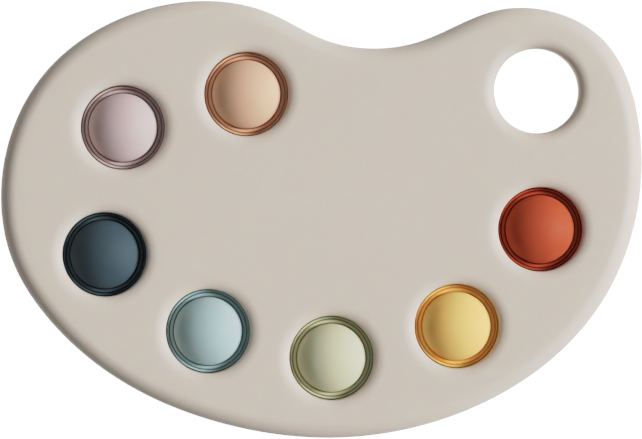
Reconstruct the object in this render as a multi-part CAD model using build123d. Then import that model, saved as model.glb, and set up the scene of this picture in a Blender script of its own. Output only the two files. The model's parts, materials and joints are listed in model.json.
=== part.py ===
from build123d import *
import os
from math import sqrt

# A palette-shaped press toy in moulded silicone: a kidney-shaped body with one thumb hole, and
# seven coloured poppers. Each popper is a dome on a flexible membrane, and pops through the body
# when it is pressed.
# Millimetres. The toy lies on its back: the origin is under the middle of its outline, +X runs
# along its length towards the thumb hole, +Y towards the notch in its long edge, and +Z is up,
# out of the face that the domes stand in.

# Body
THICKNESS = 12.6
EDGE_RADIUS = 5.0
THUMB_HOLE_RADIUS = 12.7
THUMB_HOLE_AT = (64.5, 38.5)

# The soft mouths of the holes: each is a quarter of an ellipse
MOUTH_WIDTH = 3.8
THUMB_MOUTH_DEPTH = 2.8
WELL_MOUTH_DEPTH = 2.0

# The wells that hold the poppers, and the groove halfway down each well
WELL_RADIUS = 12.6
GROOVE_RADIUS = 16.0
GROOVE_HEIGHT = 1.2

# A popper's dome and the skirt under it
DOME_SPHERE_RADIUS = 12.0
DOME_ABOVE_FACE = 2.2
DOME_WALL = 1.2
SKIRT_RADIUS = 10.2
SKIRT_WALL = 1.0
SHOULDER_RADIUS = 0.6
BUTTON_HEIGHT = 2.1

# A popper's fold, its two terraces with a notch between them, and the tongue in the groove
FOLD_WIDTH = 0.4
FOLD_FLOOR = 0.6
INNER_TERRACE_RADIUS = 11.4
INNER_TERRACE_HEIGHT = 1.6
NOTCH_RADIUS = 11.8
NOTCH_HEIGHT = 0.6
OUTER_TERRACE_RADIUS = 12.35
OUTER_TERRACE_HEIGHT = 2.4

# Where each popper's middle is
POPPERS = {
    "lilac": (-59.5, 27.5),
    "peach": (-22.5, 37.5),
    "navy": (-65.0, -10.5),
    "blue": (-34.0, -33.5),
    "green": (3.0, -41.5),
    "yellow": (40.5, -32.0),
    "red": (65.5, -3.0),
}

# Worked out from the above
MIDDLE = THICKNESS / 2
DOME_TOP = THICKNESS + DOME_ABOVE_FACE
DOME_CENTRE = DOME_TOP - DOME_SPHERE_RADIUS
INNER_SPHERE_RADIUS = DOME_SPHERE_RADIUS - DOME_WALL
BUTTON_UNDERSIDE = DOME_TOP - BUTTON_HEIGHT
FOLD_RADIUS = SKIRT_RADIUS + FOLD_WIDTH
MEMBRANE_UNDERSIDE = MIDDLE - FOLD_FLOOR / 2


def palette_outline():
    """The body's kidney outline, with its bounding box centred on the origin."""
    curve = Spline(
        (-83.0, -28.5),
        (-57.5, -50.0),
        (-26.5, -62.0),
        (12.5, -65.0),
        (82.0, -28.0),
        (95.0, 30.5),
        (83.5, 55.0),
        (53.5, 63.0),
        (29.5, 53.5),
        (1.0, 54.0),
        (-15.5, 62.0),
        (-83.5, 43.5),
        (-92.5, -13.0),
        periodic=True,
    )
    face = make_face(curve)
    centre = face.bounding_box().center()
    return Pos(-centre.X, -centre.Y, 0) * face


def turned(outline):
    """The solid that an outline, drawn as (distance from the axis, height), makes about Z."""
    return revolve(Plane.XZ * make_face(outline), Axis.Z)


def soft_hole(at, radius, mouth_depth):
    """What a through hole with soft mouths takes away from the body."""
    flare = radius + MOUTH_WIDTH
    wall_low, wall_high = mouth_depth, THICKNESS - mouth_depth
    lower_mouth = EllipticalCenterArc((flare, wall_low), MOUTH_WIDTH, mouth_depth, 180, arc_size=90)
    upper_mouth = EllipticalCenterArc((flare, wall_high), MOUTH_WIDTH, mouth_depth, 90, arc_size=90)
    middle = Polyline((flare, THICKNESS), (0, THICKNESS), (0, 0), (flare, 0))
    wall = Line((radius, wall_low), (radius, wall_high))
    return Pos(*at, 0) * turned([lower_mouth, wall, upper_mouth, *middle.edges()])


def palette_body():
    """The body: a thick rounded plate with the thumb hole and seven grooved wells."""
    body = extrude(palette_outline(), THICKNESS)
    rims = body.faces().filter_by(Axis.Z).edges()
    body = fillet(rims, EDGE_RADIUS)
    body -= soft_hole(THUMB_HOLE_AT, THUMB_HOLE_RADIUS, THUMB_MOUTH_DEPTH)
    for at in POPPERS.values():
        body -= soft_hole(at, WELL_RADIUS, WELL_MOUTH_DEPTH)
        body -= Pos(*at, MIDDLE) * Cylinder(GROOVE_RADIUS, GROOVE_HEIGHT)
    return body


def sphere_height(radius, sphere_radius):
    """How high a sphere about the dome's centre stands at this distance from the axis."""
    return DOME_CENTRE + sqrt(sphere_radius**2 - radius**2)


def sphere_arc(start, end, sphere_radius):
    """The arc of such a sphere, seen from the side, between two distances from the axis."""
    middle = (start + end) / 2
    return ThreePointArc(*[(r, sphere_height(r, sphere_radius)) for r in (start, middle, end)])


def membrane():
    """A popper's flexible middle: its dome, the skirt under it and the floor of its fold."""
    skirt_inside = SKIRT_RADIUS - SKIRT_WALL
    shoulder = sphere_height(SKIRT_RADIUS, DOME_SPHERE_RADIUS)
    inner_shoulder = sphere_height(skirt_inside, INNER_SPHERE_RADIUS)
    fold_top = MEMBRANE_UNDERSIDE + FOLD_FLOOR
    walls = Polyline(
        (SKIRT_RADIUS, shoulder),
        (SKIRT_RADIUS, fold_top),
        (FOLD_RADIUS, fold_top),
        (FOLD_RADIUS, MEMBRANE_UNDERSIDE),
        (skirt_inside, MEMBRANE_UNDERSIDE),
        (skirt_inside, inner_shoulder),
    )
    solid = turned(
        [
            sphere_arc(0, SKIRT_RADIUS, DOME_SPHERE_RADIUS),
            *walls.edges(),
            sphere_arc(skirt_inside, 0, INNER_SPHERE_RADIUS),
            Line((0, DOME_TOP - DOME_WALL), (0, DOME_TOP)),
        ]
    )
    heights = (round(shoulder, 3), round(inner_shoulder, 3))
    circles = solid.edges().filter_by(GeomType.CIRCLE)
    shoulders = circles.filter_by(lambda edge: round(edge.center().Z, 3) in heights)
    return fillet(shoulders, SHOULDER_RADIUS)


def rim():
    """A popper's anchored part: two terraces round the fold, and the tongue in the groove."""
    steps = [
        (FOLD_RADIUS, INNER_TERRACE_RADIUS, INNER_TERRACE_HEIGHT),
        (INNER_TERRACE_RADIUS, NOTCH_RADIUS, NOTCH_HEIGHT),
        (NOTCH_RADIUS, OUTER_TERRACE_RADIUS, OUTER_TERRACE_HEIGHT),
        (OUTER_TERRACE_RADIUS, GROOVE_RADIUS, GROOVE_HEIGHT),
    ]
    ring = Part()
    for inside, outside, height in steps:
        step = Cylinder(outside, height) - Cylinder(inside, height)
        ring += Pos(0, 0, MIDDLE) * step
    return ring


def popper():
    """A popper's three zones, by name. The button is the part of its dome that a finger meets."""
    cut = Plane.XY.offset(BUTTON_UNDERSIDE)
    whole = membrane()
    return {
        "button": split(whole, bisect_by=cut, keep=Keep.TOP),
        "web": split(whole, bisect_by=cut, keep=Keep.BOTTOM),
        "rim": rim(),
    }


os.makedirs("parts", exist_ok=True)
export_step(palette_body(), "parts/palette_body.step")
for zone, shape in popper().items():
    for colour, at in POPPERS.items():
        export_step(Pos(*at, 0) * shape, f"parts/{colour}_{zone}.step")
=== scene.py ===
import json
import math

import bpy
import numpy as np
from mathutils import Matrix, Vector, noise
from mathutils.geometry import delaunay_2d_cdt


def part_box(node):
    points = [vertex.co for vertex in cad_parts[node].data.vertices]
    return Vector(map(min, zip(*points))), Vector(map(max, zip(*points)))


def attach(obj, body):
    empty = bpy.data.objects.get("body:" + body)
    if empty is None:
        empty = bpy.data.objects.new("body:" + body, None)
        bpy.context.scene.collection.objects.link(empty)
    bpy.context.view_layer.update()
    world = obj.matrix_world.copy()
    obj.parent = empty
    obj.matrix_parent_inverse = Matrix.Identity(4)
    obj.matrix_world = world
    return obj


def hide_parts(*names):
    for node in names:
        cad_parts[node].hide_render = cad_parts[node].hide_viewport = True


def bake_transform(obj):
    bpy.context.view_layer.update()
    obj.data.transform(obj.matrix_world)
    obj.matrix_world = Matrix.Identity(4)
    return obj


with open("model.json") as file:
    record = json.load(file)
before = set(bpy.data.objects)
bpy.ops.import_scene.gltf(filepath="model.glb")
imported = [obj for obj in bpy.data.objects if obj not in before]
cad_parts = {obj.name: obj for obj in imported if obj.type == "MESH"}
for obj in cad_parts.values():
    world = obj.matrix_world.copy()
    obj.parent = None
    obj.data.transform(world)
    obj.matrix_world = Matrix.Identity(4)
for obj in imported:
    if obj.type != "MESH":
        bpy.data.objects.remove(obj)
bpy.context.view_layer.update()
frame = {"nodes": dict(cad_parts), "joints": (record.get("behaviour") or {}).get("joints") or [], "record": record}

# A palette-shaped press toy in moulded silicone: a kidney-shaped body with a thumb hole, and seven
# coloured poppers. Everything is in metres, in the CAD's own frame.

MM = 0.001

# The body's cross-section, as the CAD has it
EDGE_RADIUS = 5.0 * MM
WELL_RADIUS = 12.6 * MM
MOUTH_WIDTH = 3.8 * MM
THUMB_MOUTH_DEPTH = 2.8 * MM
WELL_MOUTH_DEPTH = 2.0 * MM
GROOVE_RADIUS = 16.0 * MM
GROOVE_HEIGHT = 1.2 * MM

# A popper's cross-section, as the CAD has it
DOME_SPHERE_RADIUS = 12.0 * MM
DOME_WALL = 1.2 * MM
SKIRT_RADIUS = 10.2 * MM
SKIRT_WALL = 1.0 * MM
FOLD_RADIUS = 10.6 * MM
FOLD_FLOOR = 0.6 * MM
INNER_TERRACE_RADIUS = 11.4 * MM
INNER_TERRACE_HEIGHT = 1.6 * MM
NOTCH_RADIUS = 11.8 * MM
NOTCH_HEIGHT = 0.6 * MM
OUTER_TERRACE_RADIUS = 12.35 * MM
OUTER_TERRACE_HEIGHT = 2.4 * MM

# How far a popper's edges are rounded off
SHOULDER_RADIUS = 0.5 * MM
SOFT_EDGE = 0.2 * MM
CRISP_EDGE = 0.1 * MM

# How far under the top of the fold's floor the edge of a pressed dome hangs
PRESSED_EDGE_DROP = 0.2 * MM

# A faint moulding line halfway up the body's outer wall
PARTING_LINE_WIDTH = 0.7 * MM
PARTING_LINE_HEIGHT = 0.05 * MM

# The slight unevenness of the body's moulded faces
UNEVEN_DEPTH = 0.03 * MM
UNEVEN_SIZE = 28 * MM

# How finely the meshes are divided
OUTLINE_POINTS = 600
RING_POINTS = 144
FACE_SPACING = 3.2 * MM

# What the frame gives
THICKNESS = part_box("palette_body")[1].z
MIDDLE = THICKNESS / 2
THUMB_HOLE = next(m for m in frame["record"]["mounts"] if m["name"] == "thumb_hole")

# Linear colours. Each silicone drifts between two of them.
SAND = ((0.65, 0.57, 0.495), (0.63, 0.55, 0.48))
POPPER_COLOURS = {
    "lilac": ((0.57, 0.45, 0.45), (0.55, 0.43, 0.43)),
    "peach": ((0.72, 0.44, 0.30), (0.70, 0.42, 0.285)),
    "navy": ((0.056, 0.086, 0.105), (0.052, 0.08, 0.098)),
    "blue": ((0.38, 0.51, 0.52), (0.36, 0.49, 0.50)),
    "green": ((0.59, 0.59, 0.40), (0.57, 0.57, 0.385)),
    "yellow": ((0.96, 0.58, 0.19), (0.94, 0.56, 0.18)),
    "red": ((0.485, 0.083, 0.035), (0.465, 0.078, 0.033)),
}
BODY_FINISH = {"roughness": 0.5, "grain": 0.25, "specular": 0.25, "scatter": 1.2 * MM}
POPPER_FINISH = {"roughness": 0.6, "grain": 0.2, "specular": 0.12, "scatter": 0.5 * MM}
ROUGHNESS_SPREAD = 0.06
GRAIN_HEIGHT = 0.05 * MM

# Painted shade: deep in a narrow groove, a colour is multiplied by this much of itself, so it turns darker and
# more saturated as in shadow
PAINTED_CREVICE_SHADE = 0.9

# Lights. Angles are in degrees, and azimuth is counted from +X towards +Y.
KEY = {"azimuth": 6, "elevation": 36, "distance": 6.0, "size": (2.0, 2.2), "power": 725}
CEILING = {"azimuth": 0, "elevation": 90, "distance": 4.0, "size": (2.0, 2.0), "power": 34}

# Light from all round, and the heights on a unit sphere between which one gives way to the other
FILL_ABOVE = 0.03
FILL_BELOW = 1.5
FILL_CHANGES = (-0.15, 0.02)

# The white floor and backdrop. The floor is just clear of the toy's uneven back.
FLOOR_SIZE = 12
BACKDROP_RADIUS = 5.9
STAGE_GLOW = 4.0
FLOOR_GAP = 0.1 * MM

# The camera, and the width that it sees at the height where the body is widest
LENS = 250
SENSOR_WIDTH = 36
SEEN_WIDTH = 192.6 * MM
CAMERA_AT = (-0.1 * MM, -0.05 * MM)

# The film's response, as (light in, brightness out)
FILM = (
    (0, 0),
    (0.09, 0.08),
    (0.25, 0.236),
    (0.55, 0.455),
    (0.8, 0.59),
    (1.1, 0.67),
    (1.4, 0.745),
    (2.0, 0.85),
    (4.0, 1.0),
)


# ---------------------------------------------------------------- shapes


def rounded(corners, steps=6):
    """A path through corners with each one rounded off. A corner is (r, z, weight, radius), and
    a point of the path is (r, z, weight)."""
    path = []
    for i, (*point, radius) in enumerate(corners):
        point = np.array(point)
        if not radius:
            path.append(point)
            continue
        before, after = np.array(corners[i - 1][:3]), np.array(corners[i + 1][:3])
        back = (before - point) / np.linalg.norm((before - point)[:2])
        on = (after - point) / np.linalg.norm((after - point)[:2])
        half = math.acos(np.clip(back[:2] @ on[:2], -1, 1)) / 2
        start, end = point + back * radius / math.tan(half), point + on * radius / math.tan(half)
        inward = (back + on)[:2] / np.linalg.norm((back + on)[:2])
        centre = point[:2] + inward * radius / math.sin(half)
        turn = math.pi - 2 * half
        for k in range(steps + 1):
            share = k / steps
            a = math.sin((1 - share) * turn) / math.sin(turn)
            b = math.sin(share * turn) / math.sin(turn)
            at = centre + a * (start[:2] - centre) + b * (end[:2] - centre)
            path.append(np.array([*at, start[2] + share * (end[2] - start[2])]))
    return path


def mesh_object(name, vertices, faces):
    mesh = bpy.data.meshes.new(name)
    mesh.from_pydata([tuple(v) for v in vertices], [], [tuple(f) for f in faces])
    mesh.validate()
    mesh.shade_smooth()
    piece = bpy.data.objects.new(name, mesh)
    bpy.context.scene.collection.objects.link(piece)
    return piece


def unit_ring():
    turns = np.arange(RING_POINTS) * 2 * math.pi / RING_POINTS
    return np.stack([np.cos(turns), np.sin(turns)], axis=1)


def bridge(first, second, count):
    """Quads between two closed rings of vertices, given each ring's first index."""
    steps = [(k, (k + 1) % count) for k in range(count)]
    return [(first + k, first + after, second + after, second + k) for k, after in steps]


def lathe(name, profile, at):
    """A closed solid turned about the vertical line through at. profile starts and ends on it."""
    count = RING_POINTS
    ring = unit_ring()
    vertices = [(*at, profile[0][1])]
    for r, z, _ in profile[1:-1]:
        vertices += [(at[0] + r * c, at[1] + r * s, z) for c, s in ring]
    vertices.append((*at, profile[-1][1]))
    last = len(vertices) - 1
    faces = [(0, 1 + k, 1 + (k + 1) % count) for k in range(count)]
    for i in range(len(profile) - 3):
        faces += bridge(1 + (i + 1) * count, 1 + i * count, count)
    end = 1 + (len(profile) - 3) * count
    faces += [(last, end + (k + 1) % count, end + k) for k in range(count)]
    return mesh_object(name, vertices, faces)


def on_each_vertex(values):
    """One value for each vertex of a lathe, from one for each point of its profile."""
    return np.concatenate([values[:1], np.repeat(values[1:-1], RING_POINTS), values[-1:]])


# ---------------------------------------------------------------- the body


def periodic_spline(points, count):
    """count evenly spaced points on the smooth closed curve through points."""
    gaps = np.linalg.norm(np.roll(points, -1, 0) - points, axis=1)
    n = len(points)
    system, right = np.zeros((n, n)), np.zeros((n, 2))
    for i in range(n):
        before, after = gaps[i - 1], gaps[i]
        system[i, i - 1] += after
        system[i, i] += 2 * (before + after)
        system[i, (i + 1) % n] += before
        rise, fall = points[(i + 1) % n] - points[i], points[i] - points[i - 1]
        right[i] = 3 * (before * rise / after + after * fall / before)
    slopes = np.linalg.solve(system, right)
    along = np.concatenate([[0], np.cumsum(gaps)])
    made = []
    for s in np.linspace(0, along[-1], count, endpoint=False):
        i = min(int(np.searchsorted(along, s, side="right")) - 1, n - 1)
        gap, t = gaps[i], (s - along[i]) / gaps[i]
        j = (i + 1) % n
        made.append(
            (1 + 2 * t) * (1 - t) ** 2 * points[i]
            + t * (1 - t) ** 2 * gap * slopes[i]
            + t**2 * (3 - 2 * t) * points[j]
            + t**2 * (t - 1) * gap * slopes[j]
        )
    return np.array(made)


def body_outline(count):
    """The body's outline and its inward directions, read from the top edge of the CAD wall."""
    wall_top, tolerance = THICKNESS - EDGE_RADIUS, 0.002 * MM
    corners = np.array([v.co for v in frame["nodes"]["palette_body"].data.vertices])
    edge = corners[abs(corners[:, 2] - wall_top) < tolerance][:, :2]
    edge = np.unique(np.round(edge, 7), axis=0)
    angles = np.arctan2(edge[:, 1] - edge[:, 1].mean(), edge[:, 0] - edge[:, 0].mean())
    points = periodic_spline(edge[np.argsort(angles)], count)
    along = np.roll(points, -1, 0) - np.roll(points, 1, 0)
    along /= np.linalg.norm(along, axis=1)[:, None]
    return points, np.stack([-along[:, 1], along[:, 0]], axis=1)


def edge_path(width, height, wall, steps=14):
    """The cross-section of an edge from the front face round to the back face, as (distance from
    the wall, z). Each rounding is a quarter of an ellipse."""
    turns = [math.pi / 2 * k / steps for k in range(steps + 1)]
    front = [
        (width * (1 - math.cos(t)), THICKNESS - height * (1 - math.sin(t))) for t in reversed(turns)
    ]
    back = [(distance, THICKNESS - z) for distance, z in reversed(front)]
    return [*front, *wall, *back]


def parting_line():
    half = PARTING_LINE_WIDTH / 2
    return [(0, MIDDLE + half), (-PARTING_LINE_HEIGHT, MIDDLE), (0, MIDDLE - half)]


def well_groove():
    """The groove that a popper's tongue sits in."""
    depth, half = GROOVE_RADIUS - WELL_RADIUS, GROOVE_HEIGHT / 2
    corners = [(0, half), (depth, half), (depth, -half), (0, -half)]
    return [(distance, MIDDLE + z) for distance, z in corners]


def face_triangles(loops, spacing):
    """Evenly triangulates the flat face between the outer loop and the holes' loops. Returns the
    extra inner points and the triangles, which count the loops' points first."""
    outer, *holes = loops
    low, high = outer.min(0), outer.max(0)
    clearance = 0.6 * spacing
    grid = []
    for row, y in enumerate(np.arange(low[1], high[1], spacing * math.sqrt(0.75))):
        shift = spacing / 2 * (row % 2)
        grid += [(x + shift, y) for x in np.arange(low[0], high[0], spacing)]
    grid = np.array(grid)
    for loop in loops:
        gaps = np.linalg.norm(grid[:, None] - loop[None], axis=2).min(1)
        grid = grid[gaps > clearance]
    points = np.concatenate([*loops, grid])
    borders, first = [], 0
    for loop in loops:
        borders += [(first + k, first + (k + 1) % len(loop)) for k in range(len(loop))]
        first += len(loop)
    in_mm = [Vector(p / MM) for p in points]
    inside_only, tolerance = 1, 1e-6
    made = delaunay_2d_cdt(in_mm, borders, [], inside_only, tolerance)
    came_from = [sources[0] for sources in made[3]]
    triangles = [[came_from[v] for v in triangle] for triangle in made[2]]
    middles = np.array([points[t].mean(0) for t in triangles])
    kept = np.full(len(triangles), True)
    for hole in holes:
        centre = hole.mean(0)
        kept &= np.linalg.norm(middles - centre, axis=1) > np.linalg.norm(hole[0] - centre)
    return grid, [t for t, keep in zip(triangles, kept, strict=True) if keep]


def palette():
    outline, inward = body_outline(OUTLINE_POINTS)
    ring = unit_ring()
    # each border: its ring at the wall, the direction into the material, its cross-section
    borders = [(outline, inward, edge_path(EDGE_RADIUS, EDGE_RADIUS, parting_line()))]
    thumb_at, thumb_radius = np.array(THUMB_HOLE["pos_m"][:2]), THUMB_HOLE["dims"]["r_mm"] * MM
    thumb_edge = edge_path(MOUTH_WIDTH, THUMB_MOUTH_DEPTH, [])
    borders.append((thumb_at + ring * thumb_radius, ring, thumb_edge))
    well_edge = edge_path(MOUTH_WIDTH, WELL_MOUTH_DEPTH, well_groove())
    for colour in POPPER_COLOURS:
        at = np.array(popper_at(colour))
        borders.append((at + ring * WELL_RADIUS, ring, well_edge))
    loops = [wall + into * path[0][0] for wall, into, path in borders]
    grid, triangles = face_triangles(loops, FACE_SPACING)
    flat = np.concatenate([*loops, grid])
    count = len(flat)
    vertices = [(x, y, THICKNESS) for x, y in flat] + [(x, y, 0) for x, y in flat]
    faces = triangles + [[count + v for v in reversed(t)] for t in triangles]
    first = 0
    for number, (wall, into, path) in enumerate(borders):
        n = len(wall)
        rings = [first]
        for distance, z in path[1:-1]:
            rings.append(len(vertices))
            vertices += [(*p, z) for p in wall + into * distance]
        rings.append(count + first)
        for above, below in zip(rings[:-1], rings[1:], strict=True):
            # the outer wall runs the other way round to the holes' walls
            faces += bridge(above, below, n) if number else bridge(below, above, n)
        first += n
    piece = mesh_object("palette", vertices, faces)
    soften(piece)
    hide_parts("palette_body")
    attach(piece, "palette")
    piece.data.materials.append(silicone("sand_silicone", SAND, **BODY_FINISH))


def soften(piece):
    """Gives a moulded face the slight unevenness of soft silicone."""
    mesh = piece.data
    moved = [
        v.co + v.normal * UNEVEN_DEPTH * noise.noise(v.co / UNEVEN_SIZE) for v in mesh.vertices
    ]
    mesh.vertices.foreach_set("co", np.array(moved, np.float32).ravel())
    mesh.update()


# ---------------------------------------------------------------- the poppers


def popper_at(colour):
    low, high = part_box(f"{colour}_button")
    return ((low.x + high.x) / 2, (low.y + high.y) / 2)


def popper_profile(dome_top, travel):
    """A popper's whole cross-section, from the top of its dome round to the underside of its
    dome. Each weight is the share of the button's travel that the point makes when the dome
    turns inside out and hangs from the fold, with its wall as thick as before."""
    centre = dome_top - DOME_SPHERE_RADIUS
    skirt_inside = SKIRT_RADIUS - SKIRT_WALL
    low = MIDDLE - FOLD_FLOOR / 2
    fold_floor = low + FOLD_FLOOR

    def height(r, sphere_radius=DOME_SPHERE_RADIUS):
        return centre + math.sqrt(sphere_radius**2 - r**2)

    shoulder = height(SKIRT_RADIUS)
    sunk_edge, sunk_top = fold_floor - PRESSED_EDGE_DROP, dome_top - travel
    # the pressed dome is the dome upside down, with its height scaled by this
    hollowing = (sunk_edge - sunk_top) / (dome_top - shoulder)

    def share(r):
        return 1 - (dome_top - height(r)) * (1 + hollowing) / travel

    def dome(edge, sphere_radius, steps=26):
        turns = [math.asin(edge / sphere_radius) * k / steps for k in range(steps + 1)]
        radii = [sphere_radius * math.sin(turn) for turn in turns]
        made = [(r, height(r, sphere_radius), share(r), 0) for r in radii]
        made[-1] = (*made[-1][:3], SHOULDER_RADIUS)
        return made

    outside = dome(SKIRT_RADIUS, DOME_SPHERE_RADIUS)
    inside = dome(skirt_inside, DOME_SPHERE_RADIUS - DOME_WALL)
    sunk_inside = inside[-1][1] - share(skirt_inside) * travel
    inner, notch, outer, tongue = (
        MIDDLE + h / 2
        for h in (INNER_TERRACE_HEIGHT, NOTCH_HEIGHT, OUTER_TERRACE_HEIGHT, GROOVE_HEIGHT)
    )
    fold = [(SKIRT_RADIUS, fold_floor, 0, CRISP_EDGE), (FOLD_RADIUS, fold_floor, 0, CRISP_EDGE)]
    upper_rim = [
        (FOLD_RADIUS, inner, 0, SOFT_EDGE),
        (INNER_TERRACE_RADIUS, inner, 0, SOFT_EDGE),
        (INNER_TERRACE_RADIUS, notch, 0, CRISP_EDGE),
        (NOTCH_RADIUS, notch, 0, CRISP_EDGE),
        (NOTCH_RADIUS, outer, 0, SOFT_EDGE),
        (OUTER_TERRACE_RADIUS, outer, 0, SOFT_EDGE),
        (OUTER_TERRACE_RADIUS, tongue, 0, 0),
        (GROOVE_RADIUS, tongue, 0, CRISP_EDGE),
    ]
    lower_rim = [(r, THICKNESS - z, 0, radius) for r, z, _, radius in reversed(upper_rim)]
    under_fold = [
        (FOLD_RADIUS, low, 0, CRISP_EDGE),
        (skirt_inside, low, (low - sunk_inside) / travel, CRISP_EDGE),
    ]
    return rounded([*outside, *fold, *upper_rim, *lower_rim, *under_fold, *reversed(inside)])


def painted_shade_depth(r, z):
    """How deep a point is in one of the narrow grooves round the dome, from 0 to 1, which sets how much painted
    shade its colour gets.
    """
    slack, full_depth = 0.02 * MM, 0.5 * MM
    grooves = (
        (SKIRT_RADIUS, FOLD_RADIUS, INNER_TERRACE_HEIGHT),
        (INNER_TERRACE_RADIUS, NOTCH_RADIUS, INNER_TERRACE_HEIGHT),
        (OUTER_TERRACE_RADIUS, WELL_RADIUS, OUTER_TERRACE_HEIGHT),
    )
    for inside, outside, height in grooves:
        if inside - slack < r < outside + slack:
            return min(max((height / 2 - abs(z - MIDDLE)) / full_depth, 0), 1)
    return 0


def popper(colour, tints):
    joint = next(j for j in frame["joints"] if j["name"] == f"{colour}_press")
    dome_top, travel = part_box(f"{colour}_button")[1].z, joint["range_m"][1]
    profile = popper_profile(dome_top, travel)
    piece = lathe(f"{colour}_popper", profile, popper_at(colour))
    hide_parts(f"{colour}_button", f"{colour}_web", f"{colour}_rim")
    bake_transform(piece)
    # each ring's depth in a groove sets how much painted shade darkens its colour
    painted_shade_depths = on_each_vertex(np.array([painted_shade_depth(r, z) for r, z, _ in profile]))
    piece.data.attributes.new("painted_shade_depth", "FLOAT", "POINT").data.foreach_set("value", painted_shade_depths)
    piece.data.materials.append(silicone(f"{colour}_silicone", tints, **POPPER_FINISH))


# ---------------------------------------------------------------- materials


def silicone(name, tints, roughness, grain, specular, scatter):
    """Matt moulded silicone: a colour that drifts a little between two tints and is darkened with painted shade in
    narrow grooves, fine matt grain, and some light scattered under the surface."""
    material = bpy.data.materials.new(name)
    material.use_nodes = True
    nodes, links = material.node_tree.nodes, material.node_tree.links
    shader = nodes["Principled BSDF"]
    place = nodes.new("ShaderNodeTexCoord")

    def noise_at(scale, detail):
        texture = nodes.new("ShaderNodeTexNoise")
        texture.inputs["Scale"].default_value = scale
        texture.inputs["Detail"].default_value = detail
        links.new(place.outputs["Object"], texture.inputs["Vector"])
        return texture.outputs["Fac"]

    drift = nodes.new("ShaderNodeMix")
    drift.data_type = "RGBA"
    links.new(noise_at(scale=22, detail=3), drift.inputs["Factor"])
    for side, tint in zip("AB", tints, strict=True):
        drift.inputs[side].default_value = (*tint, 1)

    # painted shade in the grooves: the body's mesh has no such depth values, so there the depth is 0 and it gets
    # none
    depth = nodes.new("ShaderNodeAttribute")
    depth.attribute_name = "painted_shade_depth"
    # this multiply paints the grooves' shade into the base colour
    painted_shade_mix = nodes.new("ShaderNodeMix")
    painted_shade_mix.data_type = "RGBA"
    painted_shade_mix.blend_type = "MULTIPLY"
    painted_shade_mix.inputs["B"].default_value = (*[PAINTED_CREVICE_SHADE * share for share in tints[0]], 1)
    links.new(depth.outputs["Fac"], painted_shade_mix.inputs["Factor"])
    links.new(drift.outputs["Result"], painted_shade_mix.inputs["A"])
    links.new(painted_shade_mix.outputs["Result"], shader.inputs["Base Color"])

    patchy = nodes.new("ShaderNodeMapRange")
    links.new(noise_at(scale=160, detail=4), patchy.inputs["Value"])
    patchy.inputs["To Min"].default_value = roughness - ROUGHNESS_SPREAD
    patchy.inputs["To Max"].default_value = roughness + ROUGHNESS_SPREAD
    links.new(patchy.outputs["Result"], shader.inputs["Roughness"])

    bump = nodes.new("ShaderNodeBump")
    bump.inputs["Strength"].default_value = grain
    bump.inputs["Distance"].default_value = GRAIN_HEIGHT
    links.new(noise_at(scale=2600, detail=5), bump.inputs["Height"])
    links.new(bump.outputs["Normal"], shader.inputs["Normal"])

    shader.inputs["Subsurface Weight"].default_value = 1.0
    shader.inputs["Subsurface Radius"].default_value = (1.0, 0.5, 0.3)
    shader.inputs["Subsurface Scale"].default_value = scatter
    shader.inputs["Specular IOR Level"].default_value = specular
    return material


# ---------------------------------------------------------------- stage


def camera():
    """Straight above the toy, as high as SEEN_WIDTH needs."""
    data = bpy.data.cameras.new("camera")
    data.lens, data.sensor_width = LENS, SENSOR_WIDTH
    wall_top = THICKNESS - EDGE_RADIUS
    view = bpy.data.objects.new("camera", data)
    view.location = (*CAMERA_AT, wall_top + SEEN_WIDTH * LENS / SENSOR_WIDTH)
    bpy.context.scene.collection.objects.link(view)
    bpy.context.scene.camera = view


def lamp(name, azimuth, elevation, distance, size, power):
    """A soft light that points at the toy."""
    data = bpy.data.lights.new(name, "AREA")
    data.shape = "RECTANGLE"
    data.size, data.size_y = size
    data.energy = power
    a, e = math.radians(azimuth), math.radians(elevation)
    back = Vector((math.cos(a) * math.cos(e), math.sin(a) * math.cos(e), math.sin(e)))
    light = bpy.data.objects.new(name, data)
    light.location = back * distance
    light.rotation_mode = "QUATERNION"
    light.rotation_quaternion = back.to_track_quat("Z", "Y")
    bpy.context.scene.collection.objects.link(light)


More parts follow.
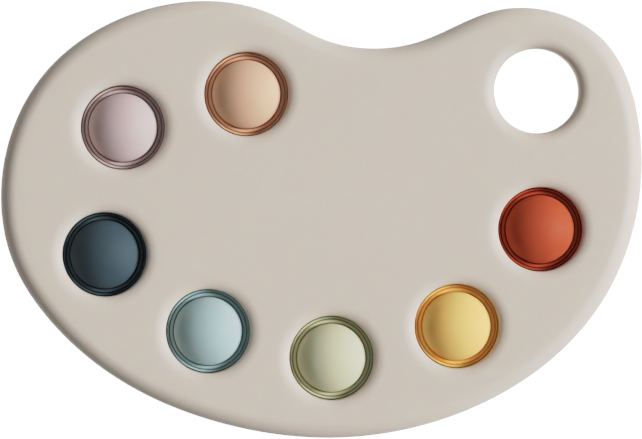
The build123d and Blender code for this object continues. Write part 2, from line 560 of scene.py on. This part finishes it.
def white_glow():
    material = bpy.data.materials.new("stage")
    material.use_nodes = True
    shader = material.node_tree.nodes["Principled BSDF"]
    shader.inputs["Base Color"].default_value = (0.92, 0.92, 0.92, 1)
    shader.inputs["Roughness"].default_value = 1.0
    shader.inputs["Specular IOR Level"].default_value = 0.0
    shader.inputs["Emission Color"].default_value = (1, 1, 1, 1)
    shader.inputs["Emission Strength"].default_value = STAGE_GLOW
    return material


def stage():
    """A white floor inside a white dome. They are seen, but don't light the toy."""
    bpy.ops.mesh.primitive_plane_add(size=FLOOR_SIZE, location=(0, 0, -FLOOR_GAP))
    floor = bpy.context.object
    bpy.ops.mesh.primitive_uv_sphere_add(radius=BACKDROP_RADIUS, location=(0, 0, 0))
    backdrop = bpy.context.object
    material = white_glow()
    for piece, name in ((floor, "floor"), (backdrop, "backdrop")):
        piece.name = name
        piece.data.materials.append(material)
        piece.visible_diffuse = piece.visible_glossy = False
    backdrop.visible_shadow = False


def fill():
    """Fills in the toy's shadows: a little from above, and more from below, as off a white
    table."""
    world = bpy.data.worlds.new("studio")
    world.use_nodes = True
    nodes, links = world.node_tree.nodes, world.node_tree.links
    place = nodes.new("ShaderNodeTexCoord")
    split = nodes.new("ShaderNodeSeparateXYZ")
    strength = nodes.new("ShaderNodeMapRange")
    links.new(place.outputs["Generated"], split.inputs["Vector"])
    links.new(split.outputs["Z"], strength.inputs["Value"])
    strength.inputs["From Min"].default_value = FILL_CHANGES[0]
    strength.inputs["From Max"].default_value = FILL_CHANGES[1]
    strength.inputs["To Min"].default_value = FILL_BELOW
    strength.inputs["To Max"].default_value = FILL_ABOVE
    links.new(strength.outputs["Result"], nodes["Background"].inputs["Strength"])
    nodes["Background"].inputs["Color"].default_value = (1, 1, 1, 1)
    bpy.context.scene.world = world


def film():
    """A film's response: nearly straight in the shadows, with a soft shoulder in the lights."""
    look = bpy.context.scene.view_settings
    look.view_transform = "Standard"
    look.use_curve_mapping = True
    mapping = look.curve_mapping
    mapping.clip_max_x, mapping.clip_max_y = FILM[-1]
    combined = mapping.curves[3].points
    combined[-1].location = FILM[-1]
    for light_in, brightness in FILM[1:-1]:
        combined.new(light_in, brightness)
    mapping.update()


camera()
stage()
fill()
film()
lamp("key", **KEY)
lamp("ceiling", **CEILING)

palette()
for colour, tints in POPPER_COLOURS.items():
    popper(colour, tints)
